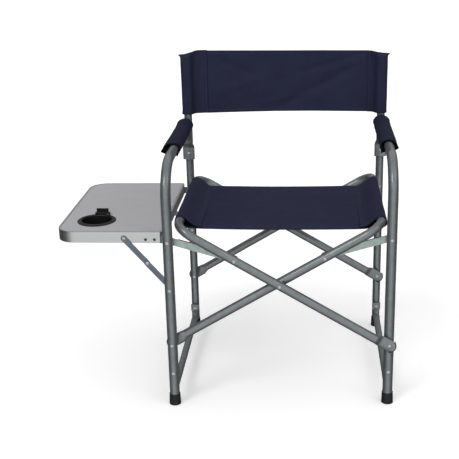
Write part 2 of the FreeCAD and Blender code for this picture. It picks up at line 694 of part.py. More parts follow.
def seat_cloth():
    """Seat between the two rails: a sleeve around each rail and a hanging sheet between them."""
    inner = CROSS_R + GAP
    outer = inner + CLOTH_T
    y_front = CROSS_Y["b"] + CROSS_BEND
    y_rear = CROSS_Y["a"] + FRAME_DEPTH - CROSS_BEND
    depth = y_rear - y_front
    hang_x = RAIL_X - 6
    hang_z = RAIL_TOP_Z - 11
    half = CLOTH_T / 2
    low, high = [Part.Arc(Vector(-hang_x, y_front, hang_z + rise), Vector(0, y_front, SEAT_SAG_Z + rise),
                          Vector(hang_x, y_front, hang_z + rise)).toShape() for rise in (-half, half)]
    ends = [Part.LineSegment(Vector(x, y_front, hang_z - half), Vector(x, y_front, hang_z + half)).toShape()
            for x in (-hang_x, hang_x)]
    shape = Part.Face(Part.Wire(Part.__sortEdges__([low, high, *ends]))).extrude(BACK * depth)
    bases = [Vector(side * RAIL_X, y_front, RAIL_TOP_Z) for side in (-1, 1)]
    for base in bases:
        shape = shape.fuse(Part.makeCylinder(outer, depth, base, BACK))
    for base in bases:
        shape = shape.cut(Part.makeCylinder(inner, depth, base, BACK))
    return shape.removeSplitter()


def back_cloth():
    """Back between the two posts: a pocket closed at the top over each post, and a sheet behind them."""
    low = min(BACK_LOW.values())
    tall = max(BACK_TOP.values()) - low
    bore_top = POST_TOP + 9
    clear = POST_R + 0.4
    reach = LEG_X - 2
    y_left = post_y("left") + clear
    y_right = post_y("right") + clear
    corners = [Vector(-reach, y_left, low), Vector(reach, y_right, low),
               Vector(reach, y_right + CLOTH_T, low), Vector(-reach, y_left + CLOTH_T, low)]
    shape = Part.Face(Part.makePolygon(corners + corners[:1])).extrude(UP * tall)
    bores = []
    for side in ("left", "right"):
        centre = Vector(SIDE[side] * (LEG_X + 0.5), post_y(side), low)
        outer = Part.Face(oval(centre, ACROSS, 16.6, BACK, clear + CLOTH_T))
        inner = Part.Face(oval(centre, ACROSS, 14.8, BACK, clear))
        shape = shape.fuse(outer.extrude(UP * tall))
        bores.append(inner.extrude(UP * (bore_top - low)))
    for bore in bores:
        shape = shape.cut(bore)
    # the outline seen from the front: level seams, with the pockets' outer corners lower
    edge = LEG_X + 25
    outline = [(-edge, BACK_LOW["left"]), (edge, BACK_LOW["right"]), (edge, BACK_EAR_Z["right"]),
               (BACK_SEAM, BACK_TOP["right"]), (-BACK_SEAM, BACK_TOP["left"]), (-edge, BACK_EAR_Z["left"])]
    points = [Vector(x, post_y("left") - 40, z) for x, z in outline]
    window = Part.Face(Part.makePolygon(points + points[:1])).extrude(BACK * 120)
    return shape.common(window).removeSplitter()


# ---- the whole object ---------------------------------------------------------------------------------

def build():
    for side in ("left", "right"):
        x = SIDE[side] * LEG_X
        nodes[side + "_arm_leg_tube"] = arm_leg_tube(side)
        nodes[side + "_back_post"] = back_post(side)
        nodes[side + "_floor_rail"] = floor_rail(side)
        feet = [foot_cap(x, FRONT_Y[side], LEG_R), foot_cap(x, post_y(side), POST_R)]
        nodes[side + "_foot_caps"] = group(feet)
        nodes[side + "_post_cap"] = post_cap(side)
        nodes[side + "_arm_pad"] = arm_pad(side)
        nodes[side + "_frame_rivets"] = frame_rivets(side)
        for end in ("front", "rear"):
            nodes[side + "_" + end + "_link"] = link(side, end)
    for frame in ("a", "b"):
        nodes["cross_frame_" + frame + "_tube"] = cross_tube(frame)
        nodes["cross_frame_" + frame + "_end_caps"] = cross_end_caps(frame)
        nodes["cross_frame_" + frame + "_link_rivets"] = cross_link_rivets(frame)
    nodes["centre_rivets"] = centre_rivets()
    nodes["centre_washers"] = centre_washers()
    nodes["table_panel"] = table_panel()
    nodes["table_edge"] = table_edge()
    nodes["table_screws"] = table_screws()
    nodes["table_strut_rivets"] = strut_rivets()
    for end in ("front", "rear"):
        nodes["table_" + end + "_bracket"] = table_bracket(end)
        for half in ("upper", "lower"):
            nodes[end + "_" + half + "_strut"] = strut(end, half)
    nodes["upper_knee_studs"] = knee_studs("upper")
    nodes["lower_knee_studs"] = knee_studs("lower")
    nodes["cup_holder"] = cup_holder()
    nodes["cup_clip"] = cup_clip()
    nodes["cup_clip_pin"] = cup_clip_pin()
    nodes["seat_cloth"] = seat_cloth()
    nodes["back_cloth"] = back_cloth()


def export():
    """Move the origin to the middle of the whole box on the floor, and write every node."""
    box = group(list(nodes.values())).optimalBoundingBox(False)
    shift = Vector(-box.Center.x, -box.Center.y, 0)
    os.makedirs("parts", exist_ok=True)
    for name, shape in nodes.items():
        shape.translate(shift)
        shape.exportStep("parts/" + name + ".step")
    return shift


build()
origin_shift = export()
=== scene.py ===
"""Looks of the folding director chair: cloth, pads, stitches, materials, studio and camera."""
import bpy
import json
import math
from mathutils import Matrix, Vector
from mathutils import noise
from mathutils.bvhtree import BVHTree


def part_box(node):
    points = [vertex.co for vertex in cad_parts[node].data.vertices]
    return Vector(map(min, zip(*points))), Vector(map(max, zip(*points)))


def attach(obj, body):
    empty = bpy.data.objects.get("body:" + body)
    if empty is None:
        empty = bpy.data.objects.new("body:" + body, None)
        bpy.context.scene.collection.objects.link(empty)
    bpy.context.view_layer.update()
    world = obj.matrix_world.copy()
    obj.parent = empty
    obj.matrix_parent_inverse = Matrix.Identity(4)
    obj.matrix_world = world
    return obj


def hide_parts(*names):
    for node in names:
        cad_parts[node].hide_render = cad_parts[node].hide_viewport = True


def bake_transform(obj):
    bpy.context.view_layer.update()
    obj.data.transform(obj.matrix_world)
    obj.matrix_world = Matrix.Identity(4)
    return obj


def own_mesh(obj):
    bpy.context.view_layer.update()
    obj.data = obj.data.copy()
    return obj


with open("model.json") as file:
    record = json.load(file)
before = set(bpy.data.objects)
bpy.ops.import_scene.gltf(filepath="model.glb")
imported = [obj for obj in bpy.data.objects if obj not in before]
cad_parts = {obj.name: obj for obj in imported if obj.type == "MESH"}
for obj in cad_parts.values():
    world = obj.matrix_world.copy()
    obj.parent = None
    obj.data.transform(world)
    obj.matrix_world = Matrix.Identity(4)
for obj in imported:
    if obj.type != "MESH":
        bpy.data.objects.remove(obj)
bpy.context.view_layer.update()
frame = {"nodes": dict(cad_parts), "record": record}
NODES = frame["nodes"]

# ---- sizes, in metres ---------------------------------------------------------------------------------

RAIL_R = 0.011               # seat rail tube
POST_R = 0.011               # rear post
TUBE_R = 0.0125              # arm tube
CLOTH_T = 0.0014             # one layer of cloth
RAW_EDGE = 0.002             # a cloth's edge thins over this width
HEM_STEP = 0.0015            # and a hem's inner edge over this
STITCH_LONG = 0.0032
STITCH_GAP = 0.0014
STITCH_R = 0.00038           # thread
STITCH_SIDES = 6


# ---- mesh helpers -------------------------------------------------------------------------------------

def new_object(name, verts, faces, cut=None, smooth=True):
    """A mesh object; cut holds each vertex's place on the flat cloth, in metres, for the weave."""
    mesh = bpy.data.meshes.new(name)
    mesh.from_pydata([tuple(v) for v in verts], [], faces)
    if cut:
        attribute = mesh.attributes.new("cut", "FLOAT_VECTOR", "POINT")
        attribute.data.foreach_set("vector", [c for point in cut for c in (point[0], point[1], 0.0)])
    mesh.validate()
    if smooth:
        mesh.shade_smooth()
    obj = bpy.data.objects.new(name, mesh)
    bpy.context.scene.collection.objects.link(obj)
    return obj


def strip_solid(name, path, spans, thick, wobble=None):
    """A closed sheet swept over two spans: s along its section, and v across it.

    path(s, v) gives a point and its normal. thick(s, v) is the cloth's thickness there, and wobble(s, v)
    moves it along that normal.
    """
    s_values, v_values = spans
    rows_up, rows_down, cut = [], [], []
    for v in v_values:
        for s in s_values:
            point, normal = path(s, v)
            shift = wobble(s, v) if wobble else 0.0
            half = thick(s, v) / 2
            rows_up.append(point + normal * (shift + half))
            rows_down.append(point + normal * (shift - half))
            cut.append((s, v))
    ns, nv = len(s_values), len(v_values)
    verts = rows_up + rows_down
    low = ns * nv
    faces = []
    for j in range(nv - 1):
        for i in range(ns - 1):
            a = j * ns + i
            quad = (a, a + 1, a + ns + 1, a + ns)
            faces.append(quad)
            faces.append(tuple(low + k for k in reversed(quad)))
    for j in range(nv - 1):
        for i in (0, ns - 1):
            a, b = j * ns + i, (j + 1) * ns + i
            quad = (a, b, low + b, low + a)
            faces.append(quad if i == 0 else tuple(reversed(quad)))
    for i in range(ns - 1):
        for j in (0, nv - 1):
            a, b = j * ns + i, j * ns + i + 1
            quad = (b, a, low + a, low + b)
            faces.append(quad if j == 0 else tuple(reversed(quad)))
    return new_object(name, verts, faces, cut + cut)


def surface_of(obj):
    """The object's surface, for casting rays at."""
    depsgraph = bpy.context.evaluated_depsgraph_get()
    return BVHTree.FromObject(obj, depsgraph)


CAST_BACK, CAST_FAR = 0.03, 0.08     # a stitch's ray starts this far back, and reaches this far


def stitches(name, surface, runs, towards):
    """Rows of raised thread stitches: each run is a list of points, dropped on the surface along towards."""
    verts, faces = [], []
    for run in runs:
        length = sum((b - a).length for a, b in zip(run, run[1:]))
        count = max(int(length / (STITCH_LONG + STITCH_GAP)), 1)
        for index in range(count):
            ends = []
            for share in (index / count, (index + STITCH_LONG / (STITCH_LONG + STITCH_GAP)) / count):
                place = along(run, share)
                hit, normal, _, _ = surface.ray_cast(place - towards * CAST_BACK, towards, CAST_FAR)
                if hit is None:
                    break
                ends.append((hit, normal))
            if len(ends) == 2:
                add_stitch(verts, faces, ends[0], ends[1])
    return new_object(name, verts, faces)


def along(run, share):
    """The point at a share of a polyline's length."""
    lengths = [(b - a).length for a, b in zip(run, run[1:])]
    left = share * sum(lengths)
    for (a, b), length in zip(zip(run, run[1:]), lengths):
        if left <= length:
            return a.lerp(b, left / length if length else 0)
        left -= length
    return run[-1].copy()


# rings of one stitch: share of its length, share of the thread's radius, and lift in radii
STITCH_RINGS = ((0.0, 0.35, -0.6), (0.2, 0.9, 0.35), (0.5, 1.0, 0.75), (0.8, 0.9, 0.35), (1.0, 0.35, -0.6))


def add_stitch(verts, faces, start, end):
    """One stitch: a short fat thread whose two ends dip into the cloth."""
    sides = STITCH_SIDES
    way = (end[0] - start[0]).normalized()
    normal = (start[1] + end[1]).normalized()
    side = way.cross(normal).normalized()
    base = len(verts)
    for share, fat, lift in STITCH_RINGS:
        centre = start[0].lerp(end[0], share) + normal * (STITCH_R * lift)
        for k in range(sides):
            angle = 2 * math.pi * k / sides
            verts.append(centre + (side * math.cos(angle) + normal * math.sin(angle)) * (STITCH_R * fat))
    for ring in range(len(STITCH_RINGS) - 1):
        for k in range(sides):
            a = base + ring * sides + k
            b = base + ring * sides + (k + 1) % sides
            faces.append((a, b, b + sides, a + sides))
    faces.append(tuple(base + k for k in reversed(range(sides))))
    faces.append(tuple(base + (len(STITCH_RINGS) - 1) * sides + k for k in range(sides)))


def smooth_step(a, b, x):
    """0 below a, 1 above b, and a smooth rise between."""
    t = min(max((x - a) / (b - a), 0.0), 1.0)
    return t * t * (3 - 2 * t)


def steps(a, b, count):
    """Evenly spaced numbers from a to b."""
    return [a + (b - a) * i / (count - 1) for i in range(count)]


def curve(points, count):
    """A smooth Catmull-Rom line through the points."""
    ends = [points[0] * 2 - points[1]] + points + [points[-1] * 2 - points[-2]]
    out = []
    for a, b, c, d in zip(ends, ends[1:], ends[2:], ends[3:]):
        for k in range(count):
            t = k / count
            out.append(0.5 * ((b * 2) + (c - a) * t + (a * 2 - b * 5 + c * 4 - d) * t * t
                              + (b * 3 - a - c * 3 + d) * t * t * t))
    return out + [points[-1].copy()]


def section_path(points, spacing):
    """A line's points about every spacing metres, each as (distance along it, point)."""
    lengths = [0.0]
    for a, b in zip(points, points[1:]):
        lengths.append(lengths[-1] + (b - a).length)
    total = lengths[-1]
    count = max(int(total / spacing), 2)
    out = []
    index = 0
    for i in range(count + 1):
        s = total * i / count
        while index < len(points) - 2 and lengths[index + 1] < s:
            index += 1
        span = lengths[index + 1] - lengths[index]
        out.append((s, points[index].lerp(points[index + 1], (s - lengths[index]) / span if span else 0)))
    return out


def direction(points, index):
    """The line's direction at one of its points."""
    return (points[min(index + 1, len(points) - 1)] - points[max(index - 1, 0)]).normalized()


def hemmed(to_hem, hem, extra, least, to_edge=None):
    """Thickness of cloth at a distance from its hemmed edge, and from its raw edge if it has one near.

    A hem of that width adds extra, and the thickness falls to the share least at an edge.
    """
    base = CLOTH_T + extra * (1 - smooth_step(hem, hem + HEM_STEP, to_hem))
    near = to_hem if to_edge is None else min(to_hem, to_edge)
    return base * (least + (1 - least) * smooth_step(0, RAW_EDGE, near))


# ---- materials ----------------------------------------------------------------------------------------

class Shader:
    """A node material built by short calls."""

    def __init__(self, name):
        self.material = bpy.data.materials.new(name)
        self.material.use_nodes = True
        self.nodes = self.material.node_tree.nodes
        self.links = self.material.node_tree.links
        self.surface = self.nodes["Principled BSDF"]

    def node(self, kind, **values):
        """A new node with its settings, or its inputs' values, set by name."""
        made = self.nodes.new(kind)
        for key, value in values.items():
            if hasattr(made, key):
                setattr(made, key, value)
            else:
                made.inputs[key.replace("_", " ")].default_value = value
        return made

    def join(self, out, into):
        """Links an output to an input."""
        self.links.new(out, into)

    def place(self, scale=(1, 1, 1), attribute=None):
        """Object coordinates, or a named attribute, through a scale."""
        if attribute:
            source = self.node("ShaderNodeAttribute", attribute_name=attribute).outputs["Vector"]
        else:
            source = self.node("ShaderNodeTexCoord").outputs["Object"]
        mapping = self.node("ShaderNodeMapping")
        mapping.inputs["Scale"].default_value = scale
        self.join(source, mapping.inputs["Vector"])
        return mapping.outputs["Vector"]

    def noise(self, where, scale, detail=2.0, rough=0.5):
        """Noise from 0 to 1."""
        made = self.node("ShaderNodeTexNoise", Scale=scale, Detail=detail, Roughness=rough)
        self.join(where, made.inputs["Vector"])
        return made.outputs["Fac"]

    def ramp(self, value, low, high, colour_low, colour_high):
        """A blend between two colours as value goes from low to high."""
        made = self.node("ShaderNodeValToRGB")
        made.color_ramp.elements[0].position = low
        made.color_ramp.elements[1].position = high
        made.color_ramp.elements[0].color = (*colour_low, 1)
        made.color_ramp.elements[1].color = (*colour_high, 1)
        self.join(value, made.inputs["Fac"])
        return made.outputs["Color"]

    def math(self, kind, a, b=None):
        """One sum: kind is its name, and a and b are nodes' outputs or numbers."""
        made = self.node("ShaderNodeMath", operation=kind)
        for socket, value in zip(made.inputs, (a, b)):
            if value is None:
                continue
            if hasattr(value, "is_linked"):
                self.join(value, socket)
            else:
                socket.default_value = value
        return made.outputs["Value"]

    def bump(self, height, strength, distance, before=None):
        """A bumped normal, on top of an earlier one if there is one."""
        made = self.node("ShaderNodeBump", Strength=strength, Distance=distance)
        self.join(height, made.inputs["Height"])
        if before:
            self.join(before, made.inputs["Normal"])
        return made.outputs["Normal"]

    def set(self, **values):
        """Values that are the same all over the surface."""
        for key, value in values.items():
            self.surface.inputs[key.replace("_", " ")].default_value = value

    def feed(self, **outputs):
        """Values that a node works out over the surface."""
        for key, out in outputs.items():
            self.join(out, self.surface.inputs[key.replace("_", " ")])


def mixed(colour, amount):
    """A colour made lighter or darker."""
    return tuple(min(c * amount, 1.0) for c in colour)


def coated_metal(name, colour, rough=0.36, grain=0.0014, strength=0.35, metallic=0.5):
    """Powder coat over steel: fine orange peel, faint mottling and slightly uneven gloss."""
    m = Shader(name)
    where = m.place()
    mottled = m.noise(where, 60.0, 4.0, 0.65)
    m.feed(Base_Color=m.ramp(mottled, 0.3, 0.7, mixed(colour, 0.86), mixed(colour, 1.12)))
    peel = m.noise(where, 1.0 / grain, 2.0, 0.5)
    m.feed(Normal=m.bump(peel, strength, 0.00025))
    gloss = m.ramp(m.noise(where, 25.0, 3.0), 0.3, 0.7, (rough - 0.06,) * 3, (rough + 0.08,) * 3)
    m.feed(Roughness=gloss)
    m.set(Metallic=metallic, Coat_Weight=0.5, Coat_Roughness=0.15)
    return m.material


def plated_metal(name, colour, rough=0.38, metallic=0.9):
    """Zinc plating: cloudy bright patches and fine rolling marks."""
    m = Shader(name)
    where = m.place()
    cloud = m.noise(where, 90.0, 3.0, 0.6)
    m.feed(Base_Color=m.ramp(cloud, 0.3, 0.72, mixed(colour, 0.78), mixed(colour, 1.12)))
    marks = m.noise(m.place((40, 900, 900)), 1.0, 2.0)
    m.feed(Roughness=m.ramp(marks, 0.3, 0.7, (rough - 0.1,) * 3, (rough + 0.12,) * 3))
    m.feed(Normal=m.bump(marks, 0.15, 0.0001))
    m.set(Metallic=metallic)
    return m.material


def moulded(name, colour, rough, grain=0.0006, strength=0.3, specular=0.5):
    """Moulded plastic or rubber with a fine grain."""
    m = Shader(name)
    where = m.place()
    m.feed(Base_Color=m.ramp(m.noise(where, 40.0, 3.0), 0.3, 0.7, mixed(colour, 0.85), mixed(colour, 1.25)))
    m.feed(Normal=m.bump(m.noise(where, 1.0 / grain, 1.0), strength, 0.0001))
    m.feed(Roughness=m.ramp(m.noise(where, 70.0, 2.0), 0.3, 0.7, (rough - 0.07,) * 3, (rough + 0.07,) * 3))
    m.set(Specular_IOR_Level=specular)
    return m.material


def woven(name, colour, pitch=0.00075, rough=0.8, sheen=0.03):
    """Plain weave polyester: threads over and under one another, slight streaks along both ways."""
    m = Shader(name)
    turns = 2 * math.pi / pitch
    where = m.place((turns, turns, 1), "cut")
    parts = m.node("ShaderNodeSeparateXYZ")
    m.join(where, parts.inputs["Vector"])
    warp = m.math("SINE", parts.outputs["X"])
    weft = m.math("SINE", parts.outputs["Y"])
    half_warp = m.math("SINE", m.math("MULTIPLY", parts.outputs["X"], 0.5))
    half_weft = m.math("SINE", m.math("MULTIPLY", parts.outputs["Y"], 0.5))
    over = m.math("MULTIPLY", half_warp, half_weft)
    threads = m.math("ADD", m.math("MULTIPLY", m.math("ADD", warp, weft), 0.5), over)
    flat = m.place((1, 1, 1), "cut")
    streak_a = m.noise(m.place((1500, 25, 1), "cut"), 1.0, 2.0)
    streak_b = m.noise(m.place((25, 1500, 1), "cut"), 1.0, 2.0)
    streaks = m.math("MULTIPLY", m.math("ADD", streak_a, streak_b), 0.5)
    broad = m.noise(flat, 14.0, 3.0)
    tone = m.math("ADD", m.math("MULTIPLY", streaks, 0.6), m.math("MULTIPLY", broad, 0.4))
    m.feed(Base_Color=m.ramp(tone, 0.32, 0.68, mixed(colour, 0.78), mixed(colour, 1.25)))
    slub = m.bump(streaks, 0.35, 0.0004)
    m.feed(Normal=m.bump(threads, 0.35, 0.00012, slub))
    m.feed(Roughness=m.ramp(broad, 0.3, 0.7, (rough - 0.06,) * 3, (rough + 0.06,) * 3))
    m.set(Sheen_Weight=sheen, Sheen_Roughness=0.45, Sheen_Tint=(0.4, 0.48, 0.9, 1), Specular_IOR_Level=0.08)
    return m.material


def laminate(name, colour):
    """Grey laminate: very fine speckle and faint handling marks."""
    m = Shader(name)
    where = m.place()
    speckle = m.noise(where, 900.0, 2.0, 0.7)
    m.feed(Base_Color=m.ramp(speckle, 0.35, 0.65, mixed(colour, 0.93), mixed(colour, 1.06)))
    marks = m.noise(where, 18.0, 5.0, 0.6)
    m.feed(Roughness=m.ramp(marks, 0.3, 0.7, (0.36,) * 3, (0.5,) * 3))
    m.feed(Normal=m.bump(speckle, 0.12, 0.0001))
    m.set(Specular_IOR_Level=0.4)
    return m.material


def extruded(name, colour):
    """Bare aluminium extrusion: hairlines along its length and a satin gloss."""
    m = Shader(name)
    lines = m.noise(m.place((6, 6, 2600)), 1.0, 3.0, 0.6)
    m.feed(Base_Color=m.ramp(lines, 0.3, 0.7, mixed(colour, 0.84), mixed(colour, 1.08)))
    m.feed(Roughness=m.ramp(lines, 0.3, 0.7, (0.26,) * 3, (0.42,) * 3))
    m.feed(Normal=m.bump(lines, 0.2, 0.0002))
    m.set(Metallic=0.92)
    return m.material


NAVY = (0.0200, 0.0218, 0.0480)
PAINT = coated_metal("grey_powder_coat", (0.156, 0.173, 0.179))
RIVET = plated_metal("rivet_zinc", (0.40, 0.42, 0.42), 0.30)
SCREW = coated_metal("screw_black", (0.012, 0.012, 0.013), 0.35, 0.0008, 0.3, 0.3)
LINK = plated_metal("link_zinc", (0.32, 0.385, 0.365), 0.42)
STRUT = coated_metal("strut_blue_grey", (0.085, 0.108, 0.135), 0.34, 0.0009, 0.4, 0.5)
BLACK = moulded("black_plastic", (0.006, 0.006, 0.0065), 0.46, specular=0.3)
RUBBER = moulded("black_rubber", (0.012, 0.012, 0.012), 0.66, 0.0008, 0.4, 0.3)
NYLON = moulded("natural_nylon", (0.55, 0.55, 0.52), 0.45)
CLOTH = woven("navy_weave", NAVY)
# the arm pads' cover is the seat's navy cloth darkened to three quarters: painted shade, not a different
# cloth
SHADED_PAD_CLOTH = woven("pad_weave_painted_shade", mixed(NAVY, 0.75), sheen=0.02)
BINDING = woven("black_binding", (0.004, 0.004, 0.005), 0.0011, 0.8, 0.0)
THREAD = moulded("navy_thread", mixed(NAVY, 1.9), 0.6, 0.0003, 0.5, 0.3)
BOARD = laminate("grey_laminate", (0.415, 0.410, 0.425))
EDGE = extruded("edge_aluminium", (0.46, 0.48, 0.475))


def dress(obj, material):
    """Gives a piece its only material."""
    obj.data.materials.clear()
    obj.data.materials.append(material)
    return obj


NODE_MATERIALS = {
    "frame_paint": PAINT, "rivet_steel": RIVET, "screw_steel": SCREW, "link_zinc": LINK, "strut_steel": STRUT,
    "black_plastic": BLACK, "black_rubber": RUBBER, "nylon": NYLON, "cloth": CLOTH, "pad_cloth": SHADED_PAD_CLOTH,
    "table_board": BOARD, "table_edge": EDGE,
}


def dress_nodes():
    """Gives every CAD node the material of its slot in the record."""
    for part in frame["record"]["subparts"]:
        obj = NODES[part["node"]]
        if not obj.data.materials:
            obj.data.materials.append(None)
        for index in range(len(obj.data.materials)):
            obj.data.materials[index] = NODE_MATERIALS[part["material_slot"]]


# ---- seat ---------------------------------------------------------------------------------------------

SEAT_BELOW = 0.0175          # the seat's level, below the rails' axes
SEAT_SAG = 0.0036            # its middle, below that level
SEAT_RISE = 0.0062           # its rear edge, above the front one
SEAT_DROOP = 0.0014          # its front and rear edges hang by this much
SEAT_HEM = 0.020
HEM_ROW = 0.017              # row of stitches in a hem, from the edge
ROW_END = 0.056              # and its ends, in from the rails' axes
SEAM_IN = (0.041, 0.047)     # rows of stitches beside a rail, in from its axis
SLEEVE_GAP = 0.0015          # from the rail's tube to the middle of the cloth round it
BOX_GAP = 0.0023             # from the rail's tube to the CAD seat's box
SEAT_PAST = (0.006, -0.003)  # cloth past the CAD seat's box, in front and behind


def rail_places():
    """X of each seat rail, their z, and the seat's front and rear, from the CAD seat."""
    low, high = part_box("seat_cloth")
    sleeve = RAIL_R + BOX_GAP
    return (low.x + sleeve, high.x - sleeve, high.z - sleeve, low.y - SEAT_PAST[0], high.y + SEAT_PAST[1])


def seat_section():
    """Half of the seat's section, from its middle out round the rail and back in to the seam, for x > 0."""
    left, right, rail_z, _, _ = rail_places()
    rail_x = (right - left) / 2
    level = rail_z - SEAT_BELOW
    loose = RAIL_R + SLEEVE_GAP
    # under and seam are measured from the seat's level, and around from the rail's axis
    under = [(0, -SEAT_SAG), (0.07, -0.0034), (0.14, -0.0026), (0.195, -0.0016), (rail_x - 0.022, -0.0006),
             (rail_x - 0.004, -0.0002), (rail_x + 0.0070, 0.0032)]
    around = [(loose + 0.0006, -0.0085), (loose, 0.0005), (loose * 0.76, loose * 0.68), (0, loose),
              (-loose * 0.86, loose * 0.62), (-0.0235, -0.003), (-0.037, -0.0128)]
    seam = (rail_x - 0.052, 0.0012)
    points = [Vector((x, 0, level + z)) for x, z in under]
    points += [Vector((rail_x + x, 0, rail_z + z)) for x, z in around]
    points.append(Vector((seam[0], 0, level + seam[1])))
    return curve(points, 8)


def seat_piece():
    """The seat: one strip of cloth whose ends wrap the rails and are stitched down on its top."""
    left, right, _, front, rear = rail_places()
    centre = (left + right) / 2
    half = section_path(seat_section(), 0.004)
    total = half[-1][0]
    line = [(-s, Vector((-p.x, 0, p.z))) for s, p in reversed(half)][:-1] + half
    points = [p for _, p in line]
    distances = [s for s, _ in line]

    def path(index, v):
        tangent = direction(points, index)
        return points[index] + Vector((centre, v, 0)), Vector((-tangent.z, 0, tangent.x))

    def thick(index, v):
        return hemmed(min(v - front, rear - v), SEAT_HEM, 0.0012, 0.35, total - abs(distances[index]))

    def wobble(index, v):
        # long folds and a slight slope on the flat of the seat, and small creases round the rails
        s = distances[index]
        flat = 1 - smooth_step(0.19, 0.235, abs(s))
        folds = noise.noise(Vector((s * 3.0, v * 26.0, 1.7))) * 0.0011
        folds += noise.noise(Vector((s * 9, v * 60, 4.1))) * 0.0004
        droop = -SEAT_DROOP * (1 - smooth_step(0, 0.05, min(v - front, rear - v))) * flat
        droop += SEAT_RISE * (v - front) / (rear - front) * flat
        sleeve = noise.noise(Vector((s * 30.0, v * 22.0, 8.3))) * 0.0007 * (1 - flat)
        return folds * flat + droop + sleeve

    near_edge = (0.0, 0.0008, 0.002, 0.006)
    stations = [front + d for d in near_edge] + steps(front + 0.012, rear - 0.012, 84)
    stations += [rear - d for d in reversed(near_edge)]
    obj = strip_solid("seat_sheet", path, (range(len(points)), stations), thick, wobble)
    for item in obj.data.attributes["cut"].data:
        item.vector = (distances[round(item.vector[0])], item.vector[1], 0)
    return obj, total, (left, right, front, rear)


def make_seat():
    """The seat and its stitches, shared between the two cross frames whose rails carry it."""
    seat, half_long, (left, right, front, rear) = seat_piece()
    dress(seat, CLOTH)
    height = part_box("seat_cloth")[1].z
    runs = []
    for x in [left + d for d in reversed(SEAM_IN)] + [right - d for d in SEAM_IN]:
        runs.append([Vector((x, front + 0.003, height)), Vector((x, rear - 0.003, height))])
    for y in (front + HEM_ROW, rear - HEM_ROW):
        runs.append([Vector((left + ROW_END, y, height)), Vector((right - ROW_END, y, height))])
    thread = stitches("seat_stitching", surface_of(seat), runs, Vector((0, 0, -1)))
    dress(thread, THREAD)
    for piece in (seat, thread):
        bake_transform(piece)
    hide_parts("seat_cloth")


# ---- back ---------------------------------------------------------------------------------------------

POCKET_OUT = 0.0150          # pocket's outer fold, from the post's axis
POCKET_GAP = 0.0016          # from the post to the middle of the cloth round it
PAST_SEAM = 0.004            # cloth past a pocket's inner row of stitches
SEAM_BACK = 0.0145           # plane of the panel and its seams, behind the post's axis
SEAM_ROWS = {"left": (0.043, 0.053), "right": (0.023, 0.034)}    # rows of stitches, in from the post's axis
BACK_HEM = 0.009
BACK_ROW = 0.0085            # row of stitches in the panel's hem, from its edge
PANEL_BOW = 0.0028           # rise of the panel's bottom edge at its middle
TOP_DROP = 0.012             # the panel's top is this much lower on the right than on the left
LOW_DROP = 0.006             # its bottom is this much higher on the left than on the right
EAR_DROP = {"left": 0.0095, "right": 0.0055}     # a pocket's outer top corner, below its seam's top
BACK_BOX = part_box("back_cloth")


def post_axis(side):
    """The top of a rear post's axis."""
    low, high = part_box(side + "_back_post")
    return Vector(((low.x + high.x) / 2, (low.y + high.y) / 2, high.z))


def back_levels(x):
    """Bottom and top of the back at a place across it."""
    low, high = BACK_BOX
    share = (x - low.x) / (high.x - low.x)
    return low.z + LOW_DROP * (1 - share) + 0.0004, high.z - TOP_DROP * share - 0.0006


def pocket(side):
    """Loop of cloth round one post, closed along its top, with its two layers sewn together at the seam."""
    outward = -1 if side == "left" else 1
    axis = post_axis(side)
    bottom, top = back_levels(axis.x)
    reach = POST_R + POCKET_GAP
    seam = SEAM_ROWS[side][1] + PAST_SEAM
    # plan of the loop from the seam, over the front of the post, round it, and back behind to the seam
    plan = curve([Vector((x, y, 0)) for x, y in (
        (-seam, SEAM_BACK - 0.0015), (-seam * 0.8, SEAM_BACK - 0.0020), (-0.0215, 0.0062),
        (-0.011, -reach * 0.88), (0.001, -reach), (0.0105, -reach * 0.74), (POCKET_OUT, -0.001),
        (0.0115, reach * 0.72), (0.002, reach), (-0.011, reach * 1.06), (-0.0225, SEAM_BACK + 0.0008),
        (-seam * 0.8, SEAM_BACK + 0.0015), (-seam, SEAM_BACK + 0.0013))], 6)
    line = section_path(plan, 0.0022)
    points = [p for _, p in line]
    distances = [s for s, _ in line]

    def path(index, v):
        tangent = direction(points, index)
        local = points[index]
        # near the top the loop closes flat over the post's cap and its fold sticks out as an ear
        closing = smooth_step(0.955, 1.0, v)
        flatter = 1 - 0.82 * closing * smooth_step(-0.030, -0.012, local.x)
        x = axis.x + outward * (local.x + 0.0055 * smooth_step(0.0, POCKET_OUT, local.x) * closing)
        ear = EAR_DROP[side] * smooth_step(-0.034, POCKET_OUT, local.x)
        z = bottom + (top - ear - bottom) * v
        return Vector((x, axis.y + local.y * flatter, z)), Vector((outward * tangent.y, -tangent.x, 0))

    def thick(index, v):
        return hemmed(min(v, 1 - v) * (top - bottom), BACK_HEM, 0.0009, 0.4)

    def wobble(index, v):
        # loose waves low down, and gathers round the post near the top
        where = Vector((distances[index] * 35.0, v * 4.0 + outward, 3.3))
        loose = noise.noise(where) * 0.0010 * (1 - v * 0.5)
        angle = math.atan2(points[index].y, points[index].x)
        gather = math.sin(angle * 7.0) * 0.0007 * smooth_step(0.86, 0.97, v)
        return (loose + gather) * smooth_step(0, 0.1, v)

    stations = [0, 0.005, 0.012, 0.03] + steps(0.06, 0.93, 34) + [0.95, 0.965, 0.975, 0.985, 0.993, 1.0]
    obj = strip_solid(side + "_back_pocket", path, (range(len(points)), stations), thick, wobble)
    for item in obj.data.attributes["cut"].data:
        item.vector = (distances[round(item.vector[0])], item.vector[1] * (top - bottom), 0)
    return obj, distances[-1], top - bottom


def crease(x, z, start, end, wide):
    """A soft crease's share of its depth, from 0 to 1, beside the line from start to end, given as (x, z)."""
    along_x, along_z = end[0] - start[0], end[1] - start[1]
    length = math.hypot(along_x, along_z)
    share = ((x - start[0]) * along_x + (z - start[1]) * along_z) / length ** 2
    off = ((x - start[0]) * along_z - (z - start[1]) * along_x) / length
    fade = smooth_step(-0.15, 0.3, share) * (1 - smooth_step(0.8, 1.1, share))
    return math.exp(-(off / wide) ** 2) * fade


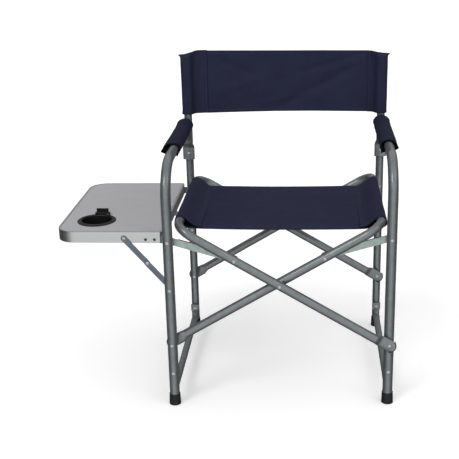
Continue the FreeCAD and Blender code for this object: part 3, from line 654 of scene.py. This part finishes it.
# creases of the panel: both ends as shares of its width and height, half width, and depth
CREASES = [
    ((0.42, 0.036), (0.98, 0.82), 0.013, -0.0042), ((0.55, 0.62), (1.0, 0.97), 0.010, -0.0026),
    ((0.02, 0.30), (0.42, 0.62), 0.014, 0.0024), ((0.0, 0.92), (0.40, 0.50), 0.011, -0.0022),
    ((0.30, 0.12), (0.66, 0.30), 0.009, 0.0015),
]


def back_panel():
    """The sheet between the two pockets, flat but for soft slanting creases."""
    left, right = post_axis("left"), post_axis("right")
    start = left + Vector((SEAM_ROWS["left"][1] + 0.002, SEAM_BACK, 0))
    end = right + Vector((-SEAM_ROWS["right"][1] - 0.002, SEAM_BACK, 0))
    wide = (end - start).length
    start_low, start_top = back_levels(start.x)
    tall = start_top - start_low
    normal = Vector((end.y - start.y, start.x - end.x, 0)).normalized()

    def path(s, v):
        place = start.lerp(end, s / wide)
        bow = PANEL_BOW * math.sin(math.pi * s / wide)
        bottom, top = back_levels(place.x)
        return Vector((place.x, place.y, bottom + (top - bottom) * v + bow * (1 - v))), normal

    def thick(s, v):
        return hemmed(min(v, 1 - v) * tall, BACK_HEM, 0.0010, 0.4)

    def wobble(s, v):
        z = v * tall
        slant = noise.noise(Vector((s * 5.0 - z * 9.0, z * 16.0 + s * 4.5, 2.2)))
        cross = noise.noise(Vector((s * 11.0, z * 30.0 - s * 9.0, 6.1)))
        edge = smooth_step(0, 0.04, s) * smooth_step(0, 0.03, wide - s)
        belly = -0.0030 * math.sin(math.pi * s / wide) * (0.6 + 0.4 * math.sin(math.pi * v))
        folds = sum(depth * crease(s, z, (a[0] * wide, a[1] * tall), (b[0] * wide, b[1] * tall), width)
                    for a, b, width, depth in CREASES)
        return (slant * 0.0022 + cross * 0.0006 + folds) * edge + belly

    stations = [0, 0.004, 0.01, 0.03] + steps(0.06, 0.94, 44) + [0.97, 0.99, 0.996, 1.0]
    obj = strip_solid("back_panel", path, (steps(0, wide, 120), stations), thick, wobble)
    for item in obj.data.attributes["cut"].data:
        item.vector = (item.vector[0], item.vector[1] * tall, 0)
    return obj, wide, tall


def make_panel():
    """The panel and its hem stitches ride on the left post."""
    panel, wide, high = back_panel()
    left, right = post_axis("left"), post_axis("right")
    first, last = left.x + SEAM_ROWS["left"][1] + 0.006, right.x - SEAM_ROWS["right"][1] - 0.006
    hems = []
    for level, inset in ((0, BACK_ROW), (1, -BACK_ROW)):
        hems.append([Vector((x, left.y - 0.02, back_levels(x)[level] + inset))
                     for x in steps(first, last, 9)])
    thread = stitches("back_hem_stitching", surface_of(panel), hems, Vector((0, 1, 0)))
    dress(panel, CLOTH)
    dress(thread, THREAD)
    for piece in (panel, thread):
        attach(piece, "left_frame")
        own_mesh(piece)
    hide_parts("back_cloth")


def make_pocket(side):
    """One pocket and its two rows of stitches, on its post."""
    loop, around, tall = pocket(side)
    inward = 1 if side == "left" else -1
    axis = post_axis(side)
    bottom, top = back_levels(axis.x)
    rows = [[Vector((axis.x + inward * off, axis.y - 0.03, z)) for z in (bottom + 0.004, top - 0.005)]
            for off in SEAM_ROWS[side]]
    seam = stitches(side + "_pocket_stitching", surface_of(loop), rows, Vector((0, 1, 0)))
    dress(loop, CLOTH)
    dress(seam, THREAD)
    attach(loop, side + "_frame")
    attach(seam, side + "_frame")
    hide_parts("back_cloth")


def make_back():
    make_panel()
    for side in ("left", "right"):
        make_pocket(side)


# ---- arm pads -----------------------------------------------------------------------------------------

PAD_AROUND = 72              # points round a pad
PAD_SEED = {"left": 3, "right": 9}
PAD_GAP = 0.0006             # from the arm's tube to the bore, and from the CAD pad's box to the cover
MOUTH_IN = 0.036             # the mouth's edge, behind the pad's front, where it has no tail
MOUTH_LONG = 0.085           # its shape fades out over this length
TAIL_LOW = (0.34, -0.06)     # a tail's place, in radians below the pad's middle: inner side, outer side
TAIL_LONG = (0.042, 0.024)   # how far it comes forward: inner side, outer side
TAIL_WIDE = 0.75             # half its width, in radians
BOUND_BAND = (-0.55, -0.16)  # the binding runs along both sides where the angle's sine is between these
BOUND_RINGS = (6, 4)         # and covers this many rings of faces at the mouth and at the rear


def arm_pad(side):
    """Foam rolled in cloth round the arm, bound in black, with a pointed tail each side of its mouth."""
    low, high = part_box(side + "_arm_pad")
    arm_low, arm_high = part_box(side + "_arm_leg_tube")
    tube_x = (arm_low.x + arm_high.x) / 2
    centre_x = (low.x + high.x) / 2
    centre_z = (low.z + high.z) / 2
    wide, tall = (high.x - low.x) / 2 - PAD_GAP, (high.z - low.z) / 2 - PAD_GAP
    front, rear = low.y, high.y
    bore = TUBE_R + PAD_GAP
    around = PAD_AROUND
    length = rear - front
    seed = PAD_SEED[side]
    inward = 1 if side == "left" else -1

    def ring(d, fat, inner=None):
        """One ring at a distance from the front; an inner ring lies round the tube instead of the foam."""
        out = []
        early = 1 - smooth_step(0, MOUTH_LONG, d)
        flare_ends = 0.16 * (1 - smooth_step(0, 0.02, d)) + 0.14 * (1 - smooth_step(0, 0.02, length - d))
        for k in range(around):
            angle = 2 * math.pi * k / around
            c, s = math.cos(angle), math.sin(angle)
            which = 0 if c * inward > 0 else 1
            tail = max(0.0, 1 - abs(math.asin(s) + TAIL_LOW[which]) / TAIL_WIDE) ** 1.3
            y = front + d + (MOUTH_IN - TAIL_LONG[which] * tail) * early
            if inner is not None:
                out.append(Vector((tube_x + c * inner, y, centre_z + s * inner)))
                continue
            puff = 1 + 0.03 * noise.noise(Vector((c * 1.5 + y * 14, s * 1.5, y * 22 + seed)))
            crinkle = 0.0006 * noise.noise(Vector((c * 4.0, s * 4.0, y * 160 + seed)))
            flare = 1 + tail * flare_ends
            x = c * (wide * fat * puff + crinkle) * flare
            z = s * (tall * fat * puff + crinkle) * flare + 0.004 * smooth_step(length - 0.09, length, d)
            out.append(Vector((centre_x + x, y, centre_z + z)))
        return out

    # from inside the mouth, out over the foam and back in behind
    rings = [ring(0.030, 1, bore), ring(0.016, 1, bore + 0.0030), ring(0.0016, 0.90)]
    stations = [0.0, 0.003, 0.006, 0.010, 0.016, 0.022] + steps(0.03, length - 0.02, 46)
    for d in stations + [length - 0.012, length - 0.005, length - 0.001]:
        fat = 0.84 + 0.16 * smooth_step(-0.006, 0.026, d) - 0.02 * (1 - smooth_step(0, 0.003, abs(d - 0.008)))
        fat *= 0.86 + 0.14 * smooth_step(0, 0.012, length - d)
        rings.append(ring(d, fat))
    rings.append(ring(length - 0.0012, 1, bore + 0.0012))
    rings.append(ring(length - 0.014, 1, bore))
    faces, bound = [], []
    for j in range(len(rings)):
        here, ahead = j * around, (j + 1) % len(rings) * around
        at_end = j < BOUND_RINGS[0] or j >= len(rings) - BOUND_RINGS[1]
        for k in range(around):
            after = (k + 1) % around
            faces.append((ahead + k, ahead + after, here + after, here + k))
            sine = math.sin(2 * math.pi * (k + 0.5) / around)
            bound.append(1 if at_end or BOUND_BAND[0] < sine < BOUND_BAND[1] else 0)
    girth = math.pi * (wide + tall)
    cut = [(k / around * girth, r[k].y) for r in rings for k in range(around)]
    obj = new_object(side + "_arm_pad_cover", [v for r in rings for v in r], faces, cut)
    dress(obj, SHADED_PAD_CLOTH)
    obj.data.materials.append(BINDING)
    obj.data.polygons.foreach_set("material_index", bound)
    return obj, (centre_x, centre_z, front, rear)


def make_arm_pads():
    """Both arm pads' covers, each with two rows of stitches underneath."""
    for side in ("left", "right"):
        cover, (x, z, front, rear) = arm_pad(side)
        runs = [[Vector((x + offset, front + 0.03, z - 0.04)), Vector((x + offset, rear - 0.075, z - 0.04))]
                for offset in (-0.003, 0.003)]
        thread = stitches(side + "_pad_stitching", surface_of(cover), runs, Vector((0, 0, 1)))
        dress(thread, THREAD)
        for piece in (cover, thread):
            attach(piece, side + "_frame")
        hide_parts(side + "_arm_pad")


# ---- studio -------------------------------------------------------------------------------------------

REACH = 40                   # the floor and the backdrop end this far out, inside the camera's clip_end
FLOOR_Z = -0.0005            # just under the feet
# name, place, spread in degrees, power
LIGHTS = (("key", (-1.5, -1.9, 2.6), 22, 0.75), ("fill", (1.9, -1.2, 2.2), 35, 0.35))


def make_world():
    """A pale sky, bright overhead and in front and darker to both sides, so that round tubes look round."""
    world = bpy.data.worlds.new("studio")
    world.use_nodes = True
    nodes, links = world.node_tree.nodes, world.node_tree.links
    coordinates = nodes.new("ShaderNodeTexCoord")
    split = nodes.new("ShaderNodeSeparateXYZ")
    links.new(coordinates.outputs["Generated"], split.inputs["Vector"])

    def combine(operation, first, second=None):
        """One sum of one or two nodes' outputs."""
        node = nodes.new("ShaderNodeMath")
        node.operation = operation
        for value, socket in zip((first, second), node.inputs):
            if value is not None:
                links.new(value, socket)
        return node.outputs["Value"]

    def span(value, low, dark, high, bright):
        """Brightness that goes from dark at low to bright at high."""
        node = nodes.new("ShaderNodeMapRange")
        links.new(value, node.inputs["Value"])
        for socket, number in (("From Min", low), ("From Max", high), ("To Min", dark), ("To Max", bright)):
            node.inputs[socket].default_value = number
        return node.outputs["Result"]

    # each span: from a direction and its brightness, to a direction and its brightness
    above = span(split.outputs["Z"], 0.05, 0.15, 0.75, 0.85)
    ahead = span(split.outputs["Y"], -0.92, 1.30, -0.30, 0.12)
    sides = span(combine("ABSOLUTE", split.outputs["X"]), 0.52, 1.0, 0.98, 0.45)
    left = span(split.outputs["X"], -0.95, 0.35, -0.45, 1.0)
    shade = combine("MULTIPLY", combine("MAXIMUM", above, ahead), combine("MULTIPLY", sides, left))
    links.new(shade, nodes["Background"].inputs["Color"])
    nodes["Background"].inputs["Strength"].default_value = 1.0
    bpy.context.scene.world = world


def make_floor():
    """A pale floor that takes the chair's shadow and throws no light back on it."""
    corners = [(-REACH, -REACH, FLOOR_Z), (REACH, -REACH, FLOOR_Z), (REACH, REACH, FLOOR_Z),
               (-REACH, REACH, FLOOR_Z)]
    floor = new_object("studio_floor", corners, [(0, 1, 2, 3)], smooth=False)
    m = Shader("pale_floor")
    m.set(Base_Color=(0.93, 0.93, 0.93, 1), Roughness=0.9, Specular_IOR_Level=0.1)
    m.set(Emission_Color=(1, 1, 1, 1), Emission_Strength=0.30)
    dress(floor, m.material)
    floor.visible_diffuse = floor.visible_glossy = False


def make_backdrop():
    """A white box round everything that only the camera sees."""
    corners = [(x, y, z) for z in (-REACH, REACH) for y in (-REACH, REACH) for x in (-REACH, REACH)]
    walls = [(0, 1, 3, 2), (4, 6, 7, 5), (0, 4, 5, 1), (2, 3, 7, 6), (0, 2, 6, 4), (1, 5, 7, 3)]
    sky = new_object("studio_backdrop", corners, walls, smooth=False)
    m = Shader("pale_backdrop")
    m.set(Base_Color=(0, 0, 0, 1), Specular_IOR_Level=0.0, Emission_Color=(1, 1, 1, 1), Emission_Strength=1.0)
    dress(sky, m.material)
    sky.visible_diffuse = sky.visible_glossy = sky.visible_shadow = False


def make_light(name, place, spread, power):
    """A sun at a place, aimed at the chair, with its spread in degrees."""
    light = bpy.data.lights.new(name, "SUN")
    light.angle = math.radians(spread)
    light.energy = power
    obj = bpy.data.objects.new(name, light)
    obj.location = place
    obj.rotation_mode = "QUATERNION"
    obj.rotation_quaternion = (Vector((0, 0, 0.4)) - Vector(place)).to_track_quat("-Z", "Y")
    bpy.context.scene.collection.objects.link(obj)


def make_studio():
    bpy.context.scene.view_settings.view_transform = "Standard"
    make_world()
    make_floor()
    make_backdrop()
    for light in LIGHTS:
        make_light(*light)


CAMERA_AT = (0.2071, -2.3836, 1.1940)
CAMERA_TURN, CAMERA_TILT, CAMERA_ROLL = 0.09137, 0.32556, -0.0270     # radians, from level and along +y


def make_camera():
    """A camera in front of the chair, a little to its right frame's side, looking down."""
    camera = bpy.data.cameras.new("camera")
    camera.sensor_width = 36.0
    camera.lens = 73.98
    camera.clip_end = 100.0
    obj = bpy.data.objects.new("camera", camera)
    pose = Matrix.Rotation(CAMERA_TURN, 4, "Z") @ Matrix.Rotation(math.pi / 2 - CAMERA_TILT, 4, "X")
    pose = pose @ Matrix.Rotation(CAMERA_ROLL, 4, "Z")
    obj.matrix_world = Matrix.Translation(CAMERA_AT) @ pose
    bpy.context.scene.collection.objects.link(obj)
    bpy.context.scene.camera = obj


# ---- everything ---------------------------------------------------------------------------------------

dress_nodes()
make_seat()
make_back()
make_arm_pads()
make_studio()
make_camera()
